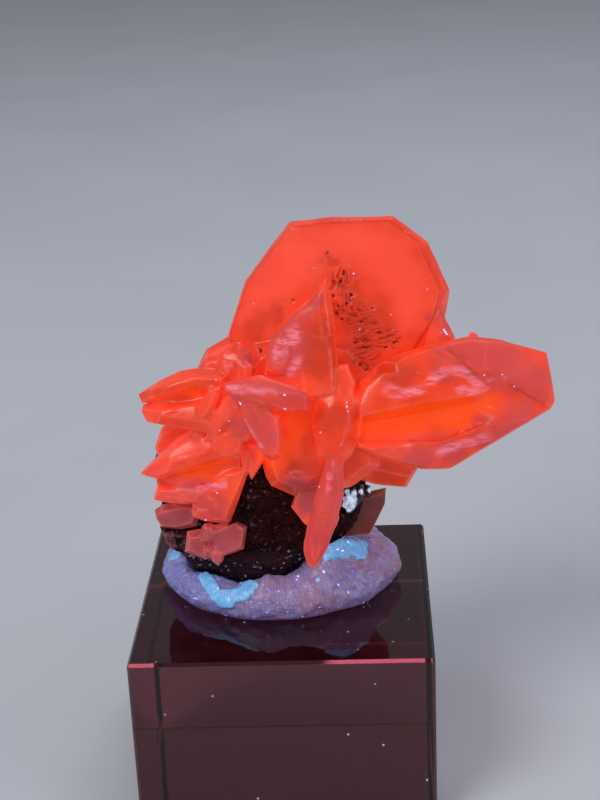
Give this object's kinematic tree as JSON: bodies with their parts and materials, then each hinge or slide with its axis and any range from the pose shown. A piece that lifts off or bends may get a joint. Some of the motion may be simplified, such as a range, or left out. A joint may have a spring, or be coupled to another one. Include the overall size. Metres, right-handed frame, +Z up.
{
  "type": "mineral specimen on a display block",
  "caption": "Cluster of thick disc-like calcite crystals on dark rock, pressed into putty on a square clear block, standing upright for display.",
  "frame": {"origin": "centre of the display block's underside", "axes": "+Z up, -Y towards the viewer of the specimen's show face, +X to that viewer's right"},
  "size_m": [0.0455, 0.032, 0.0614],
  "materials": {
    "smoky_plum_acrylic": "polished, see-through",
    "lilac_putty": "moist sheen",
    "dark_sparry_rock": "broken, granular",
    "glowing_calcite": "vitreous, translucent",
    "white_druse": "frosted"
  },
  "bodies": {
    "root": {"acrylic_block": "smoky_plum_acrylic", "mineral_tack": "lilac_putty", "matrix_rock": "dark_sparry_rock", "calcite_cluster": "glowing_calcite", "calcite_side_crystal": "glowing_calcite", "calcite_foot_crystals": "glowing_calcite", "calcite_rear_crystal": "glowing_calcite", "white_druse": "white_druse"}
  },
  "joints": []
}
